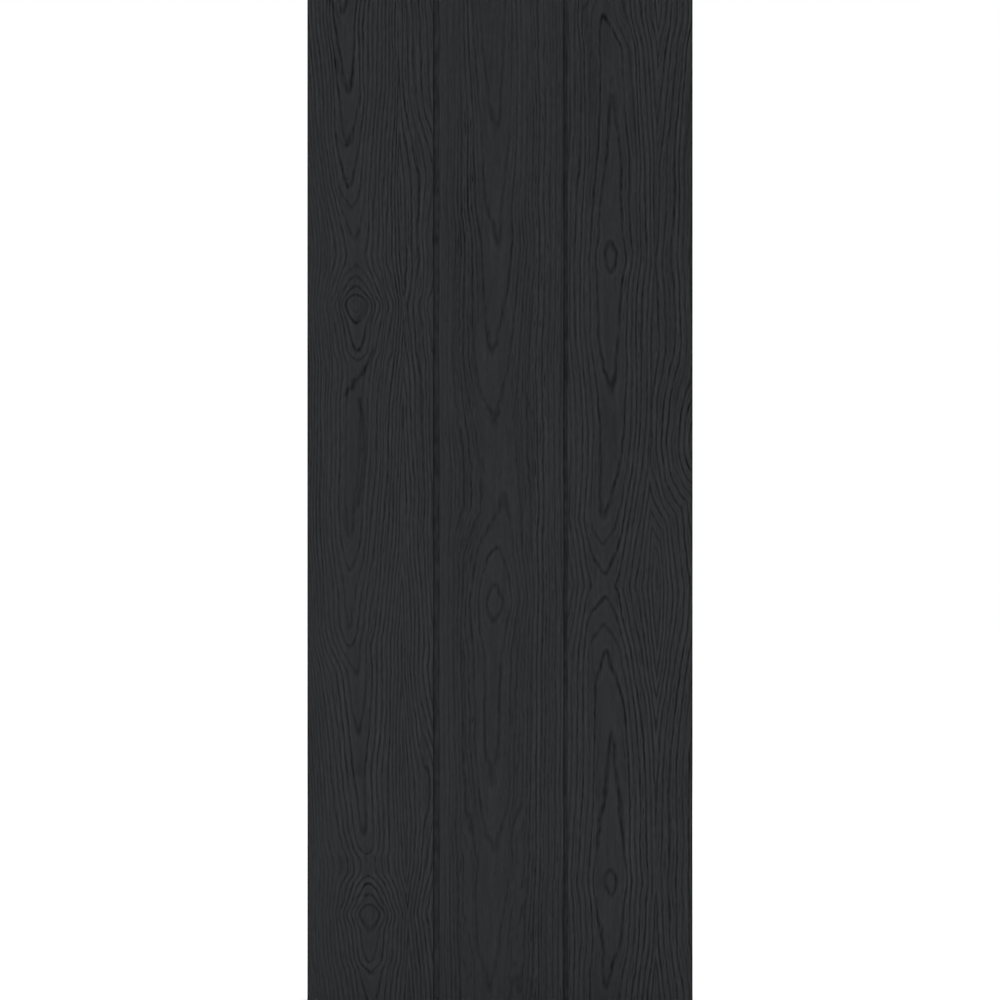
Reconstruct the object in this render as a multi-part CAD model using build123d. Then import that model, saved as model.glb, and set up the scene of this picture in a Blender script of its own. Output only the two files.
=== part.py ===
from build123d import *

import os

# Solid-core fire door leaf, faced on both sides with three wide vertical boards.
#
# The leaf stands on the XY plane. X runs across it from the hinge edge to the lock edge, Y through its
# thickness from the front face to the back face, and Z up. The origin is at the foot of the hinge edge,
# at mid thickness. All sizes are in millimetres.

# The leaf
LEAF_WIDTH = 762.0
LEAF_HEIGHT = 1981.0
LEAF_THICKNESS = 44.0

# Face boards, counted from left to right as seen from the face that they cover
BOARD_NAMES = ("left", "middle", "right")
OUTER_BOARD_WIDTH = 247.2  # face of the left and right boards; the middle one takes what the grooves leave
BOARD_THICKNESS = 8.0
ARRIS_RADIUS = 1.0  # rounding of each board's long edges at the face

# Grooves between the boards. Their floor is the tongue of the board on the left.
LEFT_GROOVE_WIDTH = 13.8
RIGHT_GROOVE_WIDTH = 10.0
GROOVE_DEPTH = 5.0
GROOVE_DRAFT = 1.0  # how far each groove wall leans in, from the face to the floor
TONGUE_LAP = 6.0  # how far a tongue runs under the next board

# Sheets that bind the core, one under each face
CROSSBAND_THICKNESS = 3.0

# Hardwood strips on the long edges, between the face boards
LIPPING_THICKNESS = 8.0
LIPPING_EASING = 0.5  # chamfer along the strip's two outer edges

# Core of upright strips glued edge to edge, with a wider stile at each long edge
STILE_WIDTH = 70.0
STAVE_COUNT = 10

# Worked out from the sizes above
FRONT_FACE_Y = -LEAF_THICKNESS / 2
BOARD_BACK_Y = FRONT_FACE_Y + BOARD_THICKNESS
CORE_FACE_Y = BOARD_BACK_Y + CROSSBAND_THICKNESS
CORE_LEFT_X = LIPPING_THICKNESS
CORE_RIGHT_X = LEAF_WIDTH - LIPPING_THICKNESS
GROOVE_WIDTHS = (LEFT_GROOVE_WIDTH, RIGHT_GROOVE_WIDTH)
MIDDLE_BOARD_WIDTH = LEAF_WIDTH - 2 * OUTER_BOARD_WIDTH - sum(GROOVE_WIDTHS)
BOARD_WIDTHS = (OUTER_BOARD_WIDTH, MIDDLE_BOARD_WIDTH, OUTER_BOARD_WIDTH)
CENTRE_LINE = Axis((LEAF_WIDTH / 2, 0, 0), (0, 0, 1))


def upright_slab(left_x, right_x, front_y, back_y):
    """A full-height slab between two X and two Y planes."""
    plan = Pos(left_x, front_y) * Rectangle(right_x - left_x, back_y - front_y, align=(Align.MIN, Align.MIN))
    return extrude(plan, LEAF_HEIGHT)


def left_edge_points(face_x, is_outer):
    """The plan of a board's left edge, from the inner side out to the face."""
    if is_outer:
        return [(face_x, BOARD_BACK_Y), (face_x, FRONT_FACE_Y)]
    wall_foot_x = face_x - GROOVE_DRAFT
    floor_y = FRONT_FACE_Y + GROOVE_DEPTH
    return [
        (wall_foot_x + TONGUE_LAP, BOARD_BACK_Y),
        (wall_foot_x + TONGUE_LAP, floor_y),
        (wall_foot_x, floor_y),
        (face_x, FRONT_FACE_Y),
    ]


def right_edge_points(face_x, groove_width):
    """The plan of a board's right edge, from the face in to the inner side. A groove adds a tongue."""
    if groove_width is None:
        return [(face_x, FRONT_FACE_Y), (face_x, BOARD_BACK_Y)]
    floor_y = FRONT_FACE_Y + GROOVE_DEPTH
    tongue_end_x = face_x + groove_width - GROOVE_DRAFT + TONGUE_LAP
    return [
        (face_x, FRONT_FACE_Y),
        (face_x + GROOVE_DRAFT, floor_y),
        (tongue_end_x, floor_y),
        (tongue_end_x, BOARD_BACK_Y),
    ]


def front_boards():
    """The three boards of the front face, by name."""
    boards = {}
    left_x = 0.0
    for name, board_width, groove_width in zip(BOARD_NAMES, BOARD_WIDTHS, (*GROOVE_WIDTHS, None)):
        right_x = left_x + board_width
        points = left_edge_points(left_x, is_outer=not boards) + right_edge_points(right_x, groove_width)
        plan = make_face(Polyline(*points, close=True))
        face_corners = plan.vertices().group_by(Axis.Y)[0]
        boards[name] = extrude(fillet(face_corners, ARRIS_RADIUS), LEAF_HEIGHT)
        left_x = right_x + (groove_width or 0.0)
    return boards


def crossband():
    """The sheet under the front boards."""
    return upright_slab(CORE_LEFT_X, CORE_RIGHT_X, BOARD_BACK_Y, CORE_FACE_Y)


def hinge_edge_lipping():
    """The strip that closes the core at the hinge edge."""
    strip = upright_slab(0.0, LIPPING_THICKNESS, BOARD_BACK_Y, -BOARD_BACK_Y)
    outer_edges = strip.edges().filter_by(Axis.Z).group_by(Axis.X)[0]
    return chamfer(outer_edges, LIPPING_EASING)


def core_strips():
    """The two stiles and the staves between them, by name."""
    first_stave_x = CORE_LEFT_X + STILE_WIDTH
    last_stave_x = CORE_RIGHT_X - STILE_WIDTH
    stave_width = (last_stave_x - first_stave_x) / STAVE_COUNT
    strips = {
        "hinge_stile": upright_slab(CORE_LEFT_X, first_stave_x, CORE_FACE_Y, -CORE_FACE_Y),
        "lock_stile": upright_slab(last_stave_x, CORE_RIGHT_X, CORE_FACE_Y, -CORE_FACE_Y),
    }
    for number in range(STAVE_COUNT):
        stave_x = first_stave_x + number * stave_width
        strips[f"core_stave_{number + 1}"] = upright_slab(
            stave_x, stave_x + stave_width, CORE_FACE_Y, -CORE_FACE_Y
        )
    return strips


def turned_about(piece):
    """The same piece on the other face or edge, as the leaf looks when it is walked around."""
    return piece.rotate(CENTRE_LINE, 180)


def leaf():
    """Every piece of the leaf, by node name."""
    pieces = {}
    for name, board in front_boards().items():
        pieces[f"front_{name}_board"] = board
        pieces[f"back_{name}_board"] = turned_about(board)
    pieces["front_crossband"] = crossband()
    pieces["back_crossband"] = turned_about(crossband())
    pieces["hinge_edge_lipping"] = hinge_edge_lipping()
    pieces["lock_edge_lipping"] = turned_about(hinge_edge_lipping())
    pieces.update(core_strips())
    return pieces


os.makedirs("parts", exist_ok=True)
for node, solid in leaf().items():
    export_step(solid, f"parts/{node}.step")
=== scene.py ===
"""Charcoal fire door leaf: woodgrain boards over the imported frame, with studio light and camera."""

import math
from dataclasses import dataclass, field, replace

import bpy
import numpy as np
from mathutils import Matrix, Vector


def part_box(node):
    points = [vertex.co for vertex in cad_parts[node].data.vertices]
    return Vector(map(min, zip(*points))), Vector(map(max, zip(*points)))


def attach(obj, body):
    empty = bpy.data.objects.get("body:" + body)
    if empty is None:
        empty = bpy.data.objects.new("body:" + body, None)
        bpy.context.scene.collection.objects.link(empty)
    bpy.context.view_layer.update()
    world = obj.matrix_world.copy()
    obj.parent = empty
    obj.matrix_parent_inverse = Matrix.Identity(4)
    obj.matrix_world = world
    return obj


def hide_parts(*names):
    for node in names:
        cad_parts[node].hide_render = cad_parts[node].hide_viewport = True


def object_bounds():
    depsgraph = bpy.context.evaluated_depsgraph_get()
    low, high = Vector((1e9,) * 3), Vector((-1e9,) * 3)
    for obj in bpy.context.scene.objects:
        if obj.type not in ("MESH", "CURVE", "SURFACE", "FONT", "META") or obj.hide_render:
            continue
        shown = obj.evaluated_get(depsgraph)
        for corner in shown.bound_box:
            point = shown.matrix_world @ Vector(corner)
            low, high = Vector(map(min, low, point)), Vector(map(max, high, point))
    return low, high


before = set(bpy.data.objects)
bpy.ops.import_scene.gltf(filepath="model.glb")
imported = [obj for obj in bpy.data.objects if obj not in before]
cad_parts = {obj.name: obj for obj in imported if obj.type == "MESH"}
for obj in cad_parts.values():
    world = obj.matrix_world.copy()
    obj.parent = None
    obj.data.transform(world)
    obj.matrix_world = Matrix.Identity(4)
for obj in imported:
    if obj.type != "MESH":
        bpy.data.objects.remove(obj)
cad_low, cad_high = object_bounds()

MM = 0.001

# The leaf, in millimetres. X runs from the hinge edge, Y from mid thickness to the back, Z up.
LEAF_WIDTH, LEAF_THICKNESS, LEAF_HEIGHT = (cad_high - cad_low) / MM
BOARD_THICKNESS = (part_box("front_left_board")[1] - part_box("front_left_board")[0]).y / MM
GROOVE_WIDTHS = (13.8, 10.0)
GROOVE_DEPTH = 5.0
GROOVE_DRAFT = 1.0
TONGUE_LAP = 6.0
ARRIS_RADIUS = 1.0
BOARD_NAMES = ("left", "middle", "right")
OUTER_BOARD_WIDTH = 247.2
MIDDLE_BOARD_WIDTH = LEAF_WIDTH - 2 * OUTER_BOARD_WIDTH - sum(GROOVE_WIDTHS)
BOARD_WIDTHS = (OUTER_BOARD_WIDTH, MIDDLE_BOARD_WIDTH, OUTER_BOARD_WIDTH)

# Boards as meshes
COLUMN_WIDTH = {"front": 1.25, "back": 1.6}
ROW_HEIGHT = {"front": 4.7, "back": 6.0}
ARRIS_STEPS = 4
FLOOR_COLUMNS = 5
END_EASING = (0.35, 0.7)  # height and depth of the easing of the face at the top and bottom ends
EMBOSS_DEPTH = 0.42
DEEPEST_MARK = 1.4  # how deep a line and a crack together may go, in emboss depths
SHARP_ANGLE = math.radians(50)
BACK_SEED_STEP = 100

# Smooth noise is read from a square lattice of random values.
LATTICE_SIZE = 512
LATTICE_START = 50  # cells from the lattice's corner to the board's


def eased(share):
    """A share from 0 to 1 that starts and ends gently."""
    return share * share * (3 - 2 * share)


def lattice_noise(across, down, cell_across, cell_down, seed):
    """Smooth noise from -1 to 1, with cells of the given size."""
    table = np.random.default_rng(seed).uniform(-1, 1, (LATTICE_SIZE, LATTICE_SIZE))
    columns, rows = across / cell_across + LATTICE_START, down / cell_down + LATTICE_START
    column, row = np.floor(columns).astype(int), np.floor(rows).astype(int)
    right, below = eased(columns - column), eased(rows - row)

    def value(column_step, row_step):
        return table[(row + row_step) % LATTICE_SIZE, (column + column_step) % LATTICE_SIZE]

    upper = value(0, 0) * (1 - right) + value(1, 0) * right
    lower = value(0, 1) * (1 - right) + value(1, 1) * right
    return upper * (1 - below) + lower * below


@dataclass(frozen=True)
class Noise:
    """Smooth noise of up to an amount either way, at its own step from a board's seed."""

    amount: float
    cell_across: float
    cell_down: float
    seed_step: int

    def at(self, across, down, seed):
        cells = (self.cell_across, self.cell_down)
        return self.amount * lattice_noise(across, down, *cells, seed + self.seed_step)


# Grain is laid out in thousandths of the leaf's height: down from the top of the leaf, and across
# from the left edge of its own board. Reaches and noise cells are in these units too.
GRAIN_UNIT = LEAF_HEIGHT / 1000
DOWN_STEPS = np.arange(-60.0, 1061.0)
BELL_SPAN = 3  # where a smoothing bell is cut off, in reaches

# Course of the rings
HEART_SOFTNESS, RINGS_SOFTNESS, SEAM_SOFTNESS, CONTRAST_SOFTNESS = 5, 2, 20, 5
RING_POINTEDNESS = 1.7
SLOW_REACH = 45  # longer changes of ring number than this are felt all over the board
HEART_SLOW_REACH = 90  # and so are longer bends of the heart line than this
HEART_BEND_REACH = 45  # how far from the heart line its short bends are felt
FLANK_REACH = 28  # how far from the heart line the upright outer lines start
SWAYS = (Noise(1.2, 18, 60, 0), Noise(0.4, 4.5, 18, 1), Noise(0.22, 2.5, 6, 2))
RING_DRIFT = Noise(0.4, 1.3, 400, 3)  # in rings, with cells of rings across
KNOT_SWAY = Noise(1.0, 7, 20, 11)
RING_RIPPLE = Noise(0.06, 5, 9, 10)  # in rings

# Right of the seam: the pace at which the rings run back, how upright they get, and how soon
SEAM_STRETCH, SEAM_CALM, SEAM_REACH = 0.85, 0.6, 12

# Strength of the lines
RING_STRENGTHS, RING_STRENGTH_COUNT, RING_STRENGTH_SEED = (0.6, 1.2), 256, 4
BREAK_LEVEL, BREAKS = 0.85, (Noise(0.4, 2.2, 26, 0), Noise(0.45, 1.5, 5, 1))
LINE_BREAK_SEED, FINE_BREAK_SEED = 20, 30
LINE_WIDTH = 0.44  # width of a grain line for a ring one unit wide; it grows with the root of the ring
SLOPE_STEP, FLATTEST_SLOPE = 0.5, 0.02
PLAIN_SHARPNESS = 4  # how sharply the plain strip along the heart line ends
FINE_UPRIGHTNESS = 3  # how soon the faint lines fade where the rings lean

# Shade of the coating: random patches, streaks and stains, with painted shade and light at the grooves and
# edges
PATCHES = (Noise(0.04, 14, 60, 7), Noise(0.04, 5, 120, 12))
STREAKS = Noise(0.05, 2.5, 40, 13)  # twice as strong along the heart line
# Painted shade in the grooves, blotchy along them
GROOVE_PAINTED_SHADE, GROOVE_SHADE_BLOTCHES = 0.19, Noise(0.35, 2.5, 8, 14)
MARGIN_PAINTED_LIGHT, MARGIN_REACH = 0.1, 6.0  # painted light: boards are paler along their grooves
EDGE_PAINTED_SHADE, EDGE_REACH, EDGE_SHARPNESS = 0.36, 3.2, 4  # and painted shade darkens them along the leaf's edges

# Along a groove, how far to the right a board's left and right edges lie and how they stray,
# in millimetres
EDGE_STRAYS = ((0.7, Noise(0.9, 1, 30, 8)), (1.4, Noise(0.5, 1, 40, 9)))


@dataclass
class Grain:
    """How growth rings run over one board.

    A spot is (down, across, reach down, reach across, amount).
    """

    seed: int
    pitches: tuple  # ring width left and right of the heart line
    upright: tuple  # how far the outer lines left and right of it keep upright, from 0 to 1
    bluntness: float  # how wide the rings open about the heart line
    detail_reach: float  # how many rings out the short bends round a knot are felt
    heart: list  # (down, across) along the line that the rings nest about
    rings: list  # (down, ring number) along the heart line
    contrast: list  # (down, strength of the grain lines)
    fine: float  # strength of the faint lines between wide rings
    plain: float  # half width of the strip along the heart line that has none of these
    bulges: list = field(default_factory=list)  # spots with more rings
    seam: list = field(default_factory=list)  # (down, across) along the line where the rings turn back
    knots: list = field(default_factory=list)  # (down, across, ring number, stretches, ring width)
    calm: list = field(default_factory=list)  # spots where the lines fade, or stand out if below 0
    stains: list = field(default_factory=list)  # darker spots, or paler if below 0
    cracks: list = field(default_factory=list)  # (half width, darkness, line of (down, across) points)


GRAINS = {
    "left": Grain(
        seed=11,
        pitches=(2.8, 3.0),
        upright=(0.2, 0.1),
        bluntness=10,
        detail_reach=12.5,
        heart=[
            (0, 35), (20, 34), (96, 40.5), (146, 39), (188, 41), (206, 44.5), (238, 49), (290, 48.5),
            (306, 49.5), (352, 49.5), (404, 46), (455, 46), (500, 43), (569, 43), (628, 41), (646, 42),
            (670, 49), (728, 52), (772, 51), (832, 56), (855, 59), (912, 62), (961, 62.5), (1000, 64),
        ],
        rings=[
            (-10, -2.6), (26, -2), (94, -1), (146, 0), (188, 1), (206, 2), (238, 3), (256, 3.4), (267, 3),
            (276, 2), (286, 1), (295.6, 0), (300, -1.1), (306, -1.5), (314, -0.9), (323, 0), (352, 1),
            (360, 2), (375, 2.4), (404, 2.5), (450, 2.55), (500, 2.7), (536, 3), (569, 4), (587, 4.5),
            (628, 5), (646, 6), (670, 7), (728, 8), (772, 8.6), (832, 9), (848, 9.65), (852, 9.85),
            (856, 10.5), (866, 10.6), (873, 10.45), (877, 9.9), (883, 9), (893.6, 8), (905, 7),
            (909, 6.0), (914, 5.6), (920, 6.2), (928, 7), (961, 8), (968, 9), (1000, 10),
        ],
        contrast=[(0, 1.15), (250, 1.1), (500, 0.9), (1000, 0.9)],
        fine=0.6,
        plain=12,
        bulges=[(160, 128, 55, 26, 1.4), (785, 128, 70, 26, 3.0)],
        seam=[(0, 90), (160, 92), (300, 96), (540, 95), (640, 94), (760, 96), (900, 100), (1000, 102)],
        calm=[
            (200, 4, 90, 18, 0.6), (300, 4, 40, 26, 0.6), (620, 4, 60, 16, 0.4), (900, 4, 100, 30, 0.5),
            (600, 8, 500, 22, 0.2), (306, 49, 9, 8, 1.0), (915, 62, 9, 8, 1.0),
        ],
        stains=[
            (60, 29, 40, 3, 0.12), (770, 51, 8, 9, 0.2), (306, 48, 8, 7, -0.08), (915, 62, 8, 7, -0.08),
        ],
        cracks=[
            (1.4, 0.7, [(350, 66), (359, 63), (372, 56), (384, 46), (393, 39)]),
            (2.3, 0.9, [(380, 47), (388, 45)]),
            (1.7, 0.85, [(389, 41), (395, 38.5)]),
            (2.1, 0.85, [(368, 58), (375, 54)]),
            (1.9, 0.6, [(400, 52), (415, 55), (440, 56.5), (458, 56.5), (470, 55), (484, 53), (505, 51)]),
            (2.4, 0.5, [(61, 28), (67, 30), (74, 33)]),
            (1.3, 0.4, [(74, 33), (85, 36), (93, 40)]),
            (2.4, 0.5, [(0, 23), (5, 25)]),
            (1.3, 0.4, [(5, 25), (10, 28), (24, 33)]),
            (0.9, 0.5, [
                (134, 28.8), (138, 28.3), (144, 34.8), (146.5, 38.8), (143, 44.8), (136, 46.3), (128, 46.3),
            ]),
            (1.3, 0.45, [(178, 36), (179, 41)]),
            (1.3, 0.4, [(184, 39.8), (188, 40.3)]),
            (1.0, 0.4, [(232, 40), (234, 45)]),
            (1.0, 0.45, [(230, 52.8), (236, 48.8)]),
            (1.1, 0.3, [
                (285.5, 45), (286, 51), (292, 57), (300, 62), (309, 65), (320, 63.5), (330, 60.5),
                (343, 55.5), (353, 48.5), (345, 41.5), (326, 36.5), (309, 32), (297, 31.5), (291, 33),
                (286, 39), (285.5, 45),
            ]),
            (1.5, 0.5, [
                (295, 47), (296, 53), (301, 57), (307, 58), (313, 55), (320, 50), (323, 48), (318, 44),
                (311, 40), (304, 38.5), (299, 40), (296, 43), (295, 47),
            ]),
            (1.5, 0.5, [
                (905, 58), (905, 63), (909, 69), (914, 72), (919, 71), (924, 67), (928, 63), (923, 58),
                (918, 54), (913, 52), (909, 53), (905, 58),
            ]),
            (1.2, 0.35, [(900, 46.5), (893.5, 52), (895, 65), (904, 73.5), (914, 79), (923, 80)]),
            (1.1, 0.3, [(887, 47.5), (882, 52.5), (884, 65), (889, 70.5)]),
        ],
    ),
    "middle": Grain(
        seed=23,
        pitches=(5.2, 4.9),
        upright=(0.85, 0.85),
        bluntness=8.5,
        detail_reach=9.5,
        heart=[
            (0, 51), (128, 58), (205, 54), (238, 60), (352, 53), (415, 54.5), (465, 60), (510, 63),
            (549, 57), (603, 57), (617, 54.5), (654, 54.5), (692, 53.3), (741, 52.7), (801, 54.5),
            (842, 53), (855, 56), (890, 54), (934, 51), (973, 52), (1000, 52),
        ],
        rings=[
            (-10, -3.1), (0, -3), (128, -2), (238, -1), (352, 0), (415, 1), (465, 1.4), (510, 1), (549, 0),
            (585, -1), (603, -1.4), (619, -1), (654, -0.33), (692, -0.3), (741, -0.26), (801, 0.2),
            (842, 1), (890, 1.2), (934, 1.62), (973, 2), (1000, 2.2),
        ],
        contrast=[(0, 0.65), (140, 0.67), (190, 0.92), (1000, 0.92)],
        fine=1.3,
        plain=17,
        calm=[
            (500, 4, 900, 12, 0.75), (170, 26, 150, 9, -0.55), (500, 26, 900, 8, -0.35),
            (603, 57, 14, 10, 0.45), (771, 51, 14, 7, 0.5),
        ],
        stains=[(68, 49, 14, 4, 0.15)],
    ),
    "right": Grain(
        seed=37,
        pitches=(4.0, 3.8),
        upright=(0.0, 0.0),
        bluntness=7.8,
        detail_reach=12,
        heart=[
            (0, 38), (19, 36.5), (48, 43), (108, 44.8), (164, 46.5), (192, 43.5), (258, 44), (290, 41.5),
            (340, 40.5), (388, 44.8), (430, 46), (468, 43), (519, 36), (573, 37), (624, 36), (651, 38),
            (700, 41), (739, 43.5), (801, 44.5), (882, 43), (940, 44), (983, 38), (1000, 37),
        ],
        rings=[
            (-10, 1.7), (0, 1.4), (18, 1), (48, 0.21), (90, 0.05), (108, 0), (180, -0.6), (236, -0.82),
            (245, -1), (251, -1.17), (258, -1.22), (265, -1.17), (271, -1), (280, -0.82), (327, -0.6),
            (388, 0), (430, 0.3), (468, 0.5), (519, 1), (543, 2), (573, 3), (586, 3.5), (597, 3), (624, 2),
            (651, 1), (690, 0.4), (739, 0), (801, -0.3), (840, -0.5), (860, -0.75), (869, -1), (875, -1.2),
            (882, -1.28), (888, -1.2), (894, -1), (903, -0.75), (940, -0.4), (983, 0), (1000, 0.2),
        ],
        contrast=[(0, 1.2), (1000, 1.17)],
        fine=0.6,
        plain=12,
        seam=[(0, 91), (100, 90), (200, 88), (450, 86), (520, 88), (620, 90), (740, 88), (1000, 88)],
        knots=[(446, 133, -3.1, (3.2, 1.8), 5.5)],
        calm=[
            (562, 93, 45, 7, 0.6), (500, 6, 900, 18, 0.22), (108, 45, 22, 8, 0.35), (976, 38, 20, 8, 0.45),
        ],
        stains=[(430, 46, 20, 4, 0.2), (18, 36, 5, 3, 0.4)],
    ),
}


def smoothed(values, reach):
    """Values at even steps, averaged with a bell that is this many steps wide."""
    span = BELL_SPAN * reach
    weights = np.exp(-0.5 * (np.arange(-span, span + 1) / reach) ** 2)
    return np.convolve(np.pad(values, span, mode="edge"), weights / weights.sum(), mode="valid")


def curve_through(points, reach):
    """A soft curve through given points, sampled at DOWN_STEPS."""
    downs, values = zip(*points)
    return smoothed(np.interp(DOWN_STEPS, downs, values), reach)


def curve_at(curve, down):
    """A sampled curve's values at any place down the board."""
    return np.interp(down, DOWN_STEPS, curve)


def steadied(curve, down, steady):
    """A curve's values, drawn to their mean where steady is near 1."""
    return curve_at(curve, down) * (1 - steady) + curve.mean() * steady


def spot_amount(spot, across, down):
    """A spot's amount, in full at its middle and falling to 0 around it."""
    at_down, at_across, reach_down, reach_across, amount = spot
    off_middle = ((down - at_down) / reach_down) ** 2 + ((across - at_across) / reach_across) ** 2
    return amount * np.exp(-off_middle)


def crack_marks(cracks, across, down):
    """How dark the cracks are at each point, from 0 to 1."""
    marks = np.zeros(across.shape)
    for width, darkness, line in cracks:
        for (down_a, across_a), (down_b, across_b) in zip(line, line[1:]):
            run_down, run_across = down_b - down_a, across_b - across_a
            share = (down - down_a) * run_down + (across - across_a) * run_across
            share = np.clip(share / (run_down**2 + run_across**2), 0, 1)
            gap = np.hypot(down - down_a - share * run_down, across - across_a - share * run_across)
            marks = np.maximum(marks, darkness * np.exp(-((gap / width) ** 2)))
    return marks


def heart_offset(grain, across, down, steady=0.0):
    """How far each point is to the right of the heart line, whose short bends fade out over the board."""
    heart = curve_through(grain.heart, HEART_SOFTNESS)
    slow = smoothed(heart, HEART_SLOW_REACH)
    offset = across - steadied(slow, down, steady)
    return offset - curve_at(heart - slow, down) * np.exp(-((offset / HEART_BEND_REACH) ** 2))


def past_seam(grain, across, down):
    """How far each point is to the right of the board's seam, or 0."""
    if not grain.seam:
        return 0 * across
    return np.maximum(across - curve_at(curve_through(grain.seam, SEAM_SOFTNESS), down), 0)


def steadiness(grain, across, beyond):
    """How far the grain keeps an upright course at each point, from 0 to 1."""
    calmed = SEAM_CALM * (1 - np.exp(-beyond / SEAM_REACH))
    from_heart = across - np.mean([at_across for _, at_across in grain.heart])
    flank = np.where(from_heart < 0, *grain.upright) * (1 - np.exp(-((from_heart / FLANK_REACH) ** 2)))
    return 1 - (1 - calmed) * (1 - flank)


def ring_numbers(grain, across, down):
    """The growth ring at each point of a board. A grain line runs wherever this is a whole number."""
    along_heart = curve_through(grain.rings, RINGS_SOFTNESS)
    slow = smoothed(along_heart, SLOW_REACH)
    beyond = past_seam(grain, across, down)
    steady = steadiness(grain, across, beyond)
    offset = heart_offset(grain, across - (1 + SEAM_STRETCH) * beyond, down, steady)
    for sway in SWAYS:
        offset += sway.at(across, down, grain.seed)
    rings_out = np.abs(offset) / np.where(offset < 0, *grain.pitches)
    blunt, power = grain.bluntness, RING_POINTEDNESS
    rings = (rings_out**power + blunt**power) ** (1 / power) - blunt
    rings += RING_DRIFT.at(rings, down, grain.seed) - RING_DRIFT.at(0 * rings, down, grain.seed)
    rings += steadied(slow, down, steady)
    detail = curve_at(along_heart - slow, down) * (1 - steady)
    rings += detail * np.exp(-((rings_out / grain.detail_reach) ** 2))
    for bulge in grain.bulges:
        rings += spot_amount(bulge, across, down)
    for at_down, at_across, first_ring, stretches, ring_width in grain.knots:
        out = np.hypot(across - at_across, (down - at_down) / np.where(down < at_down, *stretches))
        out += KNOT_SWAY.at(across, down, grain.seed)
        rings = np.minimum(rings, first_ring + out / ring_width)
    return rings + RING_RIPPLE.at(across, down, grain.seed)


def line_strengths(grain, rings, across, down):
    """How strongly each point's nearest grain line shows."""
    strengths = curve_at(curve_through(grain.contrast, CONTRAST_SOFTNESS), down)
    rng = np.random.default_rng(grain.seed + RING_STRENGTH_SEED)
    by_ring = rng.uniform(*RING_STRENGTHS, RING_STRENGTH_COUNT)
    strengths *= by_ring[np.round(rings).astype(int) % RING_STRENGTH_COUNT]
    for spot in grain.calm:
        strengths *= 1 - spot_amount(spot, across, down)
    return strengths


def breaks(across, down, seed):
    """Where lines thin out and break off."""
    return BREAK_LEVEL + sum(noise.at(across, down, seed) for noise in BREAKS)


def grain_maps(grain, across, down):
    """What the mesh and the material need at each point."""
    rings = ring_numbers(grain, across, down)
    slope_down = (ring_numbers(grain, across, down + SLOPE_STEP) - rings) / SLOPE_STEP
    slope_across = (ring_numbers(grain, across + SLOPE_STEP, down) - rings) / SLOPE_STEP
    slope = np.maximum(np.hypot(slope_down, slope_across), FLATTEST_SLOPE)
    by_heart = np.exp(-((heart_offset(grain, across, down) / grain.plain) ** PLAIN_SHARPNESS))
    faint_lines = grain.fine * (1 - by_heart) * np.abs(slope_across / slope) ** FINE_UPRIGHTNESS
    shade = (1 + by_heart) * STREAKS.at(across, down, grain.seed)
    for patch in PATCHES:
        shade += patch.at(across, down, grain.seed)
    for stain in grain.stains:
        shade += spot_amount(stain, across, down)
    strengths = line_strengths(grain, rings, across, down)
    line_breaks = breaks(across, down, grain.seed + LINE_BREAK_SEED)
    fine_breaks = breaks(across, down, grain.seed + FINE_BREAK_SEED)
    return {
        "ring": rings,
        "ring_width": 1 / slope,
        "line_strength": strengths * line_breaks,
        "fine_strength": strengths * fine_breaks * faint_lines,
        "shade": shade,
        "crack": crack_marks(grain.cracks, across, down),
    }


def line_depths(maps):
    """How deep the grain is pressed in, in emboss depths."""
    off_line = np.abs(maps["ring"] - np.round(maps["ring"])) * np.sqrt(maps["ring_width"]) / LINE_WIDTH
    lines = np.exp(-(off_line**2)) * maps["line_strength"]
    return np.clip(lines + maps["crack"], 0, DEEPEST_MARK)


def rounded_corner(start, corner, end):
    """Points along a rounded edge between a wall and the face."""
    steps = np.linspace(0, 1, ARRIS_STEPS + 1)[:, None]
    start, corner, end = (np.array(point, float) for point in (start, corner, end))
    return list((1 - steps) ** 2 * start + 2 * steps * (1 - steps) * corner + steps**2 * end)


def left_section(is_outer):
    """Plan of a board's left edge, inner side to face, as (across, depth) from the face corner."""
    if is_outer:
        return [(0, BOARD_THICKNESS)] + rounded_corner((0, ARRIS_RADIUS), (0, 0), (ARRIS_RADIUS, 0))
    lap_end = TONGUE_LAP - GROOVE_DRAFT
    wall_end = (-GROOVE_DRAFT * ARRIS_RADIUS / GROOVE_DEPTH, ARRIS_RADIUS)
    foot = [(lap_end, BOARD_THICKNESS), (lap_end, GROOVE_DEPTH), (-GROOVE_DRAFT, GROOVE_DEPTH)]
    return foot + rounded_corner(wall_end, (0, 0), (ARRIS_RADIUS, 0))


def right_section(groove_width):
    """Plan of a board's right edge, face to inner side, as (across, depth) from the face corner."""
    if groove_width is None:
        return rounded_corner((-ARRIS_RADIUS, 0), (0, 0), (0, ARRIS_RADIUS)) + [(0, BOARD_THICKNESS)]
    tongue_end = groove_width - GROOVE_DRAFT + TONGUE_LAP
    wall_end = (GROOVE_DRAFT * ARRIS_RADIUS / GROOVE_DEPTH, ARRIS_RADIUS)
    floor = [(x, GROOVE_DEPTH) for x in np.linspace(GROOVE_DRAFT, tongue_end, FLOOR_COLUMNS)]
    corner = rounded_corner((-ARRIS_RADIUS, 0), (0, 0), wall_end)
    return corner + floor + [(tongue_end, BOARD_THICKNESS)]


def strayed(plan, board_width, grooves, down, seed):
    """Each row's places across a board, drawn along by its groove edges. Hidden ends stay put."""
    strays = [shift + wander.at(0 * down, down, seed) for shift, wander in EDGE_STRAYS]
    left_stray, right_stray = (stray * (groove is not None) for stray, groove in zip(strays, grooves))
    share = np.clip(plan / board_width, 0, 1)
    across = plan + (1 - share) * left_stray + share * right_stray
    hidden = [0] if grooves[0] is None else [0, 1]
    hidden += [-1] if grooves[1] is None else [-1, -2]
    across[:, hidden] = plan[hidden]
    return across


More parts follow.
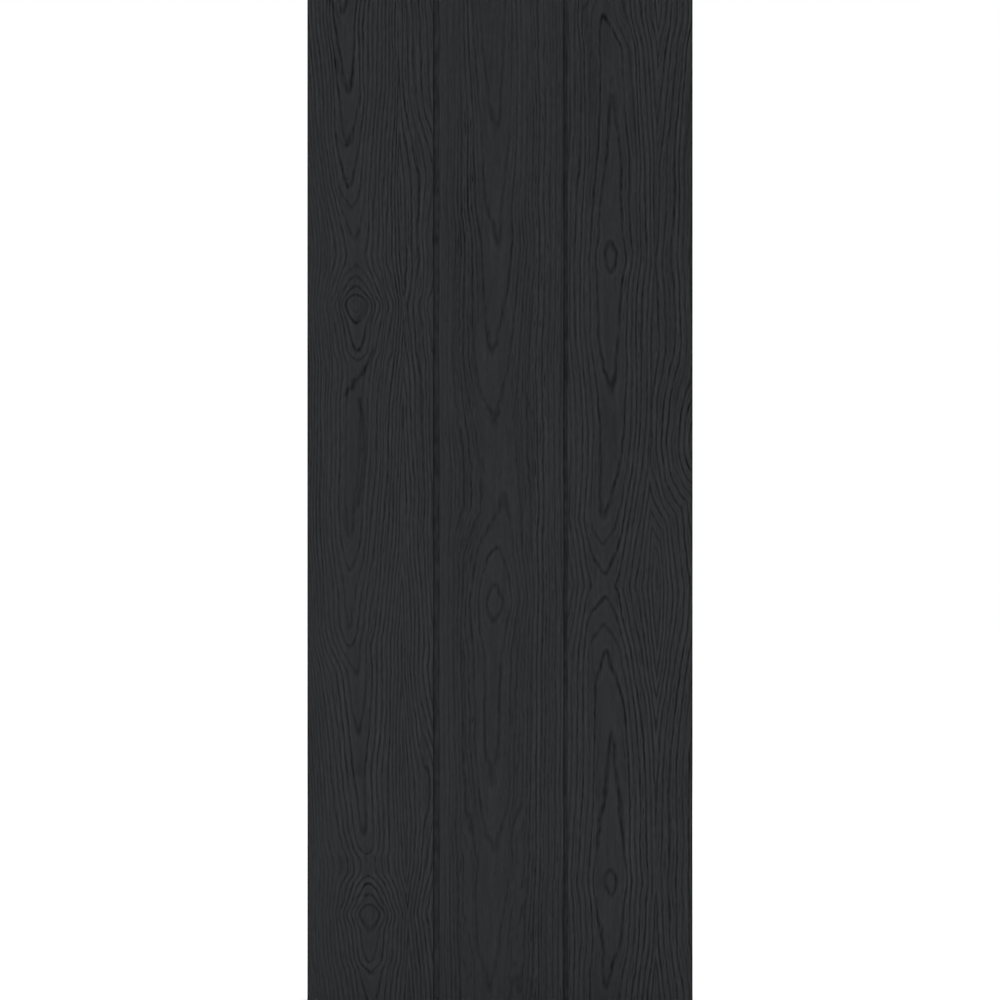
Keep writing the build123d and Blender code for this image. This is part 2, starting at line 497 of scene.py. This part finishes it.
def board_points(grain, board_width, grooves, side):
    """A face board's plan carried up the leaf, with the grain pressed into the face, and its maps.

    Points are (across from the face's left corner, depth from the face, height), in millimetres.
    """
    easing_height, easing_depth = END_EASING
    row_count = round(LEAF_HEIGHT / ROW_HEIGHT[side])
    heights = np.linspace(easing_height, LEAF_HEIGHT - easing_height, row_count - 1)
    heights = np.concatenate([[0], heights, [LEAF_HEIGHT]])[:, None]
    down = (heights if side == "back" else LEAF_HEIGHT - heights) / GRAIN_UNIT

    left, right = np.array(left_section(grooves[0] is None)), np.array(right_section(grooves[1]))
    face_count = round((board_width - 2 * ARRIS_RADIUS) / COLUMN_WIDTH[side])
    face = np.linspace(ARRIS_RADIUS, board_width - ARRIS_RADIUS, face_count + 1)[1:-1]
    plan = np.concatenate([left[:, 0], face, board_width + right[:, 0]])
    plan_depth = np.concatenate([left[:, 1], np.zeros(len(face)), right[:, 1]])
    on_face = plan_depth < ARRIS_RADIUS

    across = strayed(plan, board_width, grooves, down, grain.seed)
    maps = grain_maps(grain, across / GRAIN_UNIT, np.broadcast_to(down, across.shape))
    for groove, edge in zip(grooves, (0.0, board_width)):
        from_edge = np.abs(plan - edge)
        if groove is None:
            # Painted shade along the leaf's outer edges
            maps["shade"] += EDGE_PAINTED_SHADE * np.exp(-((from_edge / EDGE_REACH) ** EDGE_SHARPNESS))
        else:
            # Painted light on the margins beside the grooves
            maps["shade"] -= MARGIN_PAINTED_LIGHT * np.exp(-from_edge / MARGIN_REACH)
    # Painted shade on the grooves' walls and floors, blotchy along them
    painted_groove_shade = GROOVE_PAINTED_SHADE + GROOVE_SHADE_BLOTCHES.at(across / GRAIN_UNIT, down, grain.seed)
    maps["shade"] += painted_groove_shade * (plan_depth > ARRIS_RADIUS)
    maps["line_strength"] *= on_face
    maps["fine_strength"] *= on_face

    depth = plan_depth + EMBOSS_DEPTH * line_depths(maps) * on_face
    depth[[0, -1]] += easing_depth * on_face
    return np.stack([across, depth, np.broadcast_to(heights, across.shape)], axis=-1), maps


def placed(points, face_left, side):
    """Board points in the leaf's frame, in metres. The back is the front turned half way round."""
    across, depth, height = np.moveaxis(points, -1, 0)
    x, y = face_left + across, depth - LEAF_THICKNESS / 2
    if side == "back":
        x, y = LEAF_WIDTH - x, -y
    return np.stack([x, y, height], axis=-1) * MM


def mesh_from_grid(name, points, maps):
    """A closed tube of quads through rows of points, capped at both ends, that carries the maps."""
    rows, columns = points.shape[:2]
    index = np.arange(rows * columns).reshape(rows, columns)
    onward = np.roll(index, -1, axis=1)
    quads = np.stack([index[:-1], onward[:-1], onward[1:], index[1:]], axis=-1).reshape(-1, 4)
    corners = np.concatenate([quads.ravel(), index[0, ::-1], index[-1]])
    starts = np.concatenate([np.arange(len(quads)) * 4, [quads.size, quads.size + columns]])
    mesh = bpy.data.meshes.new(name)
    mesh.vertices.add(rows * columns)
    mesh.loops.add(len(corners))
    mesh.polygons.add(len(starts))
    mesh.vertices.foreach_set("co", points.ravel())
    mesh.loops.foreach_set("vertex_index", corners)
    mesh.polygons.foreach_set("loop_start", starts)
    mesh.update(calc_edges=True)
    for key, values in maps.items():
        mesh.attributes.new(key, "FLOAT", "POINT").data.foreach_set("value", values.ravel())
    mesh.validate()
    mesh.shade_smooth()
    mesh.set_sharp_from_angle(angle=SHARP_ANGLE)
    return mesh


class Shader:
    """A material under construction, with short calls for the nodes used here."""

    def __init__(self, name):
        self.material = bpy.data.materials.new(name)
        self.material.use_nodes = True
        self.nodes = self.material.node_tree.nodes
        self.links = self.material.node_tree.links
        self.surface = self.nodes["Principled BSDF"]

    def math(self, operation, *values):
        """One step of arithmetic on other nodes' results and constants."""
        node = self.nodes.new("ShaderNodeMath")
        node.operation = operation
        for socket, value in zip(node.inputs, values):
            if isinstance(value, bpy.types.NodeSocket):
                self.links.new(value, socket)
            else:
                socket.default_value = value
        return node.outputs[0]

    def point_value(self, name):
        """A value that the mesh carries at its points."""
        node = self.nodes.new("ShaderNodeAttribute")
        node.attribute_name = name
        return node.outputs["Fac"]

    def position(self):
        """The point in the leaf's own frame, in metres."""
        return self.nodes.new("ShaderNodeTexCoord").outputs["Object"]

    def coordinate(self, axis):
        """How far the point is along X, Y or Z, in metres."""
        node = self.nodes.new("ShaderNodeSeparateXYZ")
        self.links.new(self.position(), node.inputs["Vector"])
        return node.outputs[axis]

    def noise(self, cells, detail=2.0, roughness=0.5):
        """Noise from 0 to 1 with its own number of cells to the metre along X, Y and Z."""
        stretch = self.nodes.new("ShaderNodeMapping")
        self.links.new(self.position(), stretch.inputs["Vector"])
        stretch.inputs["Scale"].default_value = cells
        node = self.nodes.new("ShaderNodeTexNoise")
        self.links.new(stretch.outputs["Vector"], node.inputs["Vector"])
        node.inputs["Scale"].default_value = 1.0
        node.inputs["Detail"].default_value = detail
        node.inputs["Roughness"].default_value = roughness
        return node.outputs["Fac"]

    def off_multiple(self, value, spacing=1.0):
        """How far the value is from the nearest multiple of the spacing."""
        return self.math("PINGPONG", value, spacing / 2)

    def bell(self, value, width):
        """1 where the value is 0, falling to 0 about that width away."""
        ratio = self.math("DIVIDE", value, width)
        return self.math("EXPONENT", self.math("MULTIPLY", self.math("MULTIPLY", ratio, ratio), -1.0))

    def rise(self, value, low, high):
        """0 up to the low value and 1 from the high one."""
        node = self.nodes.new("ShaderNodeMapRange")
        node.interpolation_type = "SMOOTHSTEP"
        self.links.new(value, node.inputs["Value"])
        node.inputs["From Min"].default_value = low
        node.inputs["From Max"].default_value = high
        return node.outputs["Result"]

    def varied(self, tone, noise, amount):
        """A tone that noise moves up and down, by half the amount at most."""
        return self.math("MULTIPLY_ADD", self.math("SUBTRACT", noise, 0.5), amount, tone)

    def finish(self, colour, tone, roughness, height, bump_distance, bump_strength):
        """The finished material, in a colour made lighter or darker by a tone about 1."""
        tint = self.nodes.new("ShaderNodeVectorMath")
        tint.operation = "SCALE"
        tint.inputs[0].default_value = colour
        self.links.new(tone, tint.inputs["Scale"])
        bump = self.nodes.new("ShaderNodeBump")
        bump.inputs["Strength"].default_value = bump_strength
        bump.inputs["Distance"].default_value = bump_distance * MM
        self.links.new(height, bump.inputs["Height"])
        self.links.new(tint.outputs["Vector"], self.surface.inputs["Base Color"])
        self.links.new(roughness, self.surface.inputs["Roughness"])
        self.links.new(bump.outputs["Normal"], self.surface.inputs["Normal"])
        self.surface.inputs["Specular IOR Level"].default_value = COATING_SPECULAR
        return self.material


# Charcoal coating. Noise has its cells to the metre along X, Y and Z, and bumps are in millimetres.
FACE_COLOUR = (0.0250, 0.0263, 0.0288)
EDGE_COLOUR = (0.0215, 0.0225, 0.0243)
CORE_COLOUR = (0.0195, 0.0202, 0.0214)
COATING_SPECULAR = 0.07
COATING_ROUGHNESS, SEALER_ROUGHNESS = 0.5, 0.65
COARSE = {"detail": 3.0, "roughness": 0.6}  # noise with more of its small detail

# Face boards
LINE_DARKENING, CRACK_DARKENING = 0.43, 0.75
LINE_ROUGHNESS = 0.12  # added in the lines
# Painted highlight: a pale band either side of each grain line, where its pressed edges catch the light
RIM_PAINTED_HIGHLIGHT = 0.32
RIM_PLACE, RIM_WIDTH = 2 * LINE_WIDTH, 0.9 * LINE_WIDTH
RIM_FADE, RIM_FADE_RINGS = 0.7, (5, 10)  # share of the rim that is lost as rings grow this wide
FINE_LINE_WIDTH = 0.78
FINE_LINES = ((0.5, 5.0), (0.25, 9.5))  # spacing in rings, and the narrowest ring that shows them
FINE_RISE = 1.3  # how much wider the ring is where they show in full
FIBRE_CELLS, FIBRE_TONE, FIBRE_HEIGHT = (700, 700, 18), 0.6, 0.35
FLECK_CELLS, FLECK_TONE, FLECK_ROUGHNESS = (260, 260, 60), 0.5, 0.1

# Lippings
STREAK_CELLS, STREAK_TONE, STREAK_ROUGHNESS = (420, 420, 5), 0.5, 0.15
FINE_PORE_CELLS, FINE_PORE_TONE, FINE_PORE_HEIGHT = (1400, 1400, 45), 0.25, 0.4

# Core ends, in millimetres
PORE_CELLS, PORE_TONE, PORE_ROUGHNESS = (900, 900, 30), 0.5, 0.15
PATCH_CELLS, PATCH_TONE = (30, 60, 6), 0.3
STRIP_SEED = 5
STRIP_HEART_DEPTHS = (15, 40)  # how far a strip's heart is from the leaf's middle plane
STRIP_RING_WIDTH, STRIP_LINE_SHARE, STRIP_LINE_DARKENING = 3.2, 0.2, 0.35
STRIP_SWAY_CELLS = (90, 90, 3)
GLUE_LINE_WIDTH, GLUE_DARKNESS = 0.5, 1.6  # darkness as a multiple of the ring lines'
PLY_THICKNESS, PLY_LINE_SHARE, PLY_LINE_DARKENING = 1.0, 0.12, 0.4


def woodgrain_coating():
    """Satin charcoal over the pressed grain: dark in the lines, with a painted highlight on their rims,
    fibres between.
    """
    shader = Shader("charcoal_woodgrain")
    ring, ring_width = shader.point_value("ring"), shader.point_value("ring_width")
    strength, fine_strength = shader.point_value("line_strength"), shader.point_value("fine_strength")
    off_line = shader.math("MULTIPLY", shader.off_multiple(ring), shader.math("SQRT", ring_width))
    line = shader.math("MULTIPLY", shader.bell(off_line, LINE_WIDTH), strength)
    rim_highlight = shader.bell(shader.math("SUBTRACT", off_line, RIM_PLACE), RIM_WIDTH)
    rim_left = shader.math("MULTIPLY_ADD", shader.rise(ring_width, *RIM_FADE_RINGS), -RIM_FADE, 1.0)
    rim_highlight = shader.math("MULTIPLY", shader.math("MULTIPLY", rim_highlight, strength), rim_left)
    for spacing, narrowest in FINE_LINES:
        off_fine = shader.math("MULTIPLY", shader.off_multiple(ring, spacing), ring_width)
        fine = shader.math("MULTIPLY", shader.bell(off_fine, FINE_LINE_WIDTH), fine_strength)
        fine = shader.math("MULTIPLY", fine, shader.rise(ring_width, narrowest, FINE_RISE * narrowest))
        line = shader.math("MAXIMUM", line, fine)
    fibre = shader.noise(FIBRE_CELLS, **COARSE)
    fleck = shader.noise(FLECK_CELLS)
    tone = shader.math("MULTIPLY_ADD", line, -LINE_DARKENING, 1.0)
    tone = shader.math("MULTIPLY_ADD", rim_highlight, RIM_PAINTED_HIGHLIGHT, tone)
    tone = shader.math("MULTIPLY_ADD", shader.point_value("crack"), -CRACK_DARKENING, tone)
    # The shade map holds random patches, streaks and stains, with painted shade in the grooves and along
    # the outer edges and painted light beside the grooves
    tone = shader.math("SUBTRACT", tone, shader.point_value("shade"))
    tone = shader.varied(shader.varied(tone, fibre, FIBRE_TONE), fleck, FLECK_TONE)
    roughness = shader.math("MULTIPLY_ADD", fleck, FLECK_ROUGHNESS, COATING_ROUGHNESS)
    roughness = shader.math("MULTIPLY_ADD", line, LINE_ROUGHNESS, roughness)
    height = shader.math("SUBTRACT", shader.math("MULTIPLY", fibre, FIBRE_HEIGHT), line)
    return shader.finish(FACE_COLOUR, tone, roughness, height, bump_distance=0.25, bump_strength=0.5)


def edge_coating():
    """Satin charcoal over fine straight grain, for the lippings and the boards' ends."""
    shader = Shader("charcoal_lipping")
    streak = shader.noise(STREAK_CELLS, **COARSE)
    pore = shader.noise(FINE_PORE_CELLS, detail=1.0)
    tone = shader.varied(shader.varied(1.0, streak, STREAK_TONE), pore, FINE_PORE_TONE)
    roughness = shader.math("MULTIPLY_ADD", streak, STREAK_ROUGHNESS, COATING_ROUGHNESS)
    height = shader.math("MULTIPLY_ADD", pore, FINE_PORE_HEIGHT, streak)
    return shader.finish(EDGE_COLOUR, tone, roughness, height, bump_distance=0.2, bump_strength=0.4)


def sealed(shader, line, line_darkening):
    """Matt charcoal sealer over sawn wood that shows some darker lines."""
    pore = shader.noise(PORE_CELLS, **COARSE)
    patch = shader.noise(PATCH_CELLS)
    tone = shader.varied(shader.varied(1.0, pore, PORE_TONE), patch, PATCH_TONE)
    tone = shader.math("MULTIPLY_ADD", line, -line_darkening, tone)
    roughness = shader.math("MULTIPLY_ADD", pore, PORE_ROUGHNESS, SEALER_ROUGHNESS)
    height = shader.math("SUBTRACT", pore, line)
    return shader.finish(CORE_COLOUR, tone, roughness, height, bump_distance=0.3, bump_strength=0.5)


def sealed_strip(node, rng):
    """A core strip's sawn ends, with rings about a heart of its own and a glue line at each side."""
    low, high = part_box(node)
    shader = Shader(f"sealed_{node}")
    across, through = shader.coordinate("X"), shader.coordinate("Y")
    heart_across = rng.uniform(low.x, high.x)
    heart_through = rng.choice((-1, 1)) * rng.uniform(*STRIP_HEART_DEPTHS) * MM
    off_heart = [
        shader.math("SUBTRACT", across, heart_across),
        shader.math("SUBTRACT", through, heart_through),
    ]
    squares = [shader.math("MULTIPLY", gap, gap) for gap in off_heart]
    from_heart = shader.math("SQRT", shader.math("ADD", *squares))
    rings = shader.math("DIVIDE", from_heart, STRIP_RING_WIDTH * MM)
    rings = shader.math("ADD", rings, shader.noise(STRIP_SWAY_CELLS))
    line = shader.bell(shader.off_multiple(rings), STRIP_LINE_SHARE)
    from_middle = shader.math("ABSOLUTE", shader.math("SUBTRACT", across, (low.x + high.x) / 2))
    from_side = shader.math("SUBTRACT", (high.x - low.x) / 2, from_middle)
    glue = shader.math("MULTIPLY", shader.bell(from_side, GLUE_LINE_WIDTH * MM), GLUE_DARKNESS)
    return sealed(shader, shader.math("MAXIMUM", line, glue), STRIP_LINE_DARKENING)


def sealed_sheet():
    """A crossband's sawn ends, with a line between each pair of its plies."""
    shader = Shader("sealed_crossband")
    plies = shader.math("DIVIDE", shader.math("ABSOLUTE", shader.coordinate("Y")), PLY_THICKNESS * MM)
    return sealed(shader, shader.bell(shader.off_multiple(plies), PLY_LINE_SHARE), PLY_LINE_DARKENING)


def add_boards(side, coating, end_coating):
    """The three boards of one face. The back has the boards' grain in reverse order and upside down."""
    grooves = (None, *GROOVE_WIDTHS, None)
    grains = [GRAINS[name] for name in BOARD_NAMES]
    if side == "back":
        grains = [replace(grain, seed=grain.seed + BACK_SEED_STEP) for grain in reversed(grains)]
    face_left = 0.0
    for number, name in enumerate(BOARD_NAMES):
        node = f"{side}_{name}_board"
        board_width, board_grooves = BOARD_WIDTHS[number], grooves[number:number + 2]
        points, maps = board_points(grains[number], board_width, board_grooves, side)
        mesh = mesh_from_grid(f"{node}_grain", placed(points, face_left, side), maps)
        mesh.materials.append(coating)
        mesh.materials.append(end_coating)
        for end in mesh.polygons[-2:]:
            end.material_index = 1
        board = bpy.data.objects.new(f"{node}_grain", mesh)
        bpy.context.scene.collection.objects.link(board)
        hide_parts(node)
        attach(board, "root")
        face_left += board_width + (board_grooves[1] or 0.0)


def paint(node, material):
    """Gives a CAD node its finish."""
    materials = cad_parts[node].data.materials
    materials.clear()
    materials.append(material)


# Studio, in metres
WHITE = (1, 1, 1, 1)
FLOOR_HALF_WIDTH = 30.0
FLOOR_COLOUR, FLOOR_ROUGHNESS, FLOOR_GLOW = (0.9, 0.9, 0.9, 1), 0.9, 0.5
AMBIENT_LIGHT = 0.62
CAMERA_LENS, CAMERA_SENSOR = 200.0, 36.0
CAMERA_NEARNESS = 0.9985  # share of the distance at which the leaf's height just fills the picture


def seen_directly(nodes, links):
    """1 for rays from the camera, straight or by reflection or glass, and 0 for light on the leaf."""
    path = nodes.new("ShaderNodeLightPath")
    total = path.outputs["Is Camera Ray"]
    for kind in ("Is Glossy Ray", "Is Transmission Ray"):
        larger = nodes.new("ShaderNodeMath")
        larger.operation = "MAXIMUM"
        links.new(total, larger.inputs[0])
        links.new(path.outputs[kind], larger.inputs[1])
        total = larger.outputs[0]
    return total


def add_floor():
    """A pale floor that stays white to the camera but keeps a soft shadow."""
    half = FLOOR_HALF_WIDTH
    corners = [(-half, -half, 0), (half, -half, 0), (half, half, 0), (-half, half, 0)]
    mesh = bpy.data.meshes.new("floor")
    mesh.from_pydata(corners, [], [(0, 1, 2, 3)])
    floor = bpy.data.objects.new("floor", mesh)
    bpy.context.scene.collection.objects.link(floor)
    shader = Shader("white_floor")
    inputs = shader.surface.inputs
    inputs["Base Color"].default_value = FLOOR_COLOUR
    inputs["Roughness"].default_value = FLOOR_ROUGHNESS
    inputs["Specular IOR Level"].default_value = 0.0
    inputs["Emission Color"].default_value = WHITE
    glow = shader.math("MULTIPLY", seen_directly(shader.nodes, shader.links), FLOOR_GLOW)
    shader.links.new(glow, inputs["Emission Strength"])
    mesh.materials.append(shader.material)


def add_world():
    """Even light from all round, behind a white background."""
    world = bpy.data.worlds.new("studio")
    world.use_nodes = True
    nodes, links = world.node_tree.nodes, world.node_tree.links
    background = nodes["Background"]
    background.inputs["Color"].default_value = WHITE
    blend = nodes.new("ShaderNodeMix")
    links.new(seen_directly(nodes, links), blend.inputs["Factor"])
    blend.inputs["A"].default_value = AMBIENT_LIGHT
    blend.inputs["B"].default_value = 1.0
    links.new(blend.outputs["Result"], background.inputs["Strength"])
    bpy.context.scene.world = world


def add_softbox(name, place, width, power, aim):
    """A square lamp turned towards a point."""
    lamp = bpy.data.lights.new(name, "AREA")
    lamp.size = width
    lamp.energy = power
    softbox = bpy.data.objects.new(name, lamp)
    softbox.location = place
    softbox.rotation_euler = (Vector(aim) - Vector(place)).to_track_quat("-Z", "Y").to_euler()
    bpy.context.scene.collection.objects.link(softbox)


def add_camera(aim):
    """A long lens square to the front face, with the leaf's height filling the square picture."""
    data = bpy.data.cameras.new("camera")
    data.lens, data.sensor_width = CAMERA_LENS, CAMERA_SENSOR
    camera = bpy.data.objects.new("camera", data)
    distance = LEAF_HEIGHT * MM * CAMERA_LENS / CAMERA_SENSOR * CAMERA_NEARNESS
    camera.location = (aim.x, cad_low.y - distance, aim.z)
    camera.rotation_euler = (math.radians(90), 0, 0)
    bpy.context.scene.collection.objects.link(camera)
    bpy.context.scene.camera = camera


face_coating, lipping_coating, sheet_sealer = woodgrain_coating(), edge_coating(), sealed_sheet()
for side in ("front", "back"):
    add_boards(side, face_coating, lipping_coating)
strip_rng = np.random.default_rng(STRIP_SEED)
for node in sorted(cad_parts):
    if node.endswith("_lipping"):
        paint(node, lipping_coating)
    elif node.endswith("_crossband"):
        paint(node, sheet_sealer)
    elif not node.endswith("_board"):
        paint(node, sealed_strip(node, strip_rng))

leaf_middle = (cad_low + cad_high) / 2
leaf_foot = (leaf_middle.x, leaf_middle.y, 0.0)
add_floor()
add_world()
add_softbox("key_softbox", place=(-6.0, -7.0, 0.6), width=2.5, power=330, aim=leaf_middle)
add_softbox("foot_softbox", place=(leaf_middle.x, -1.2, 0.25), width=0.4, power=0.65, aim=leaf_foot)
add_softbox("back_softbox", place=(5.0, 7.0, 2.4), width=2.5, power=330, aim=leaf_middle)
add_camera(leaf_middle)
bpy.context.scene.view_settings.view_transform = "Standard"
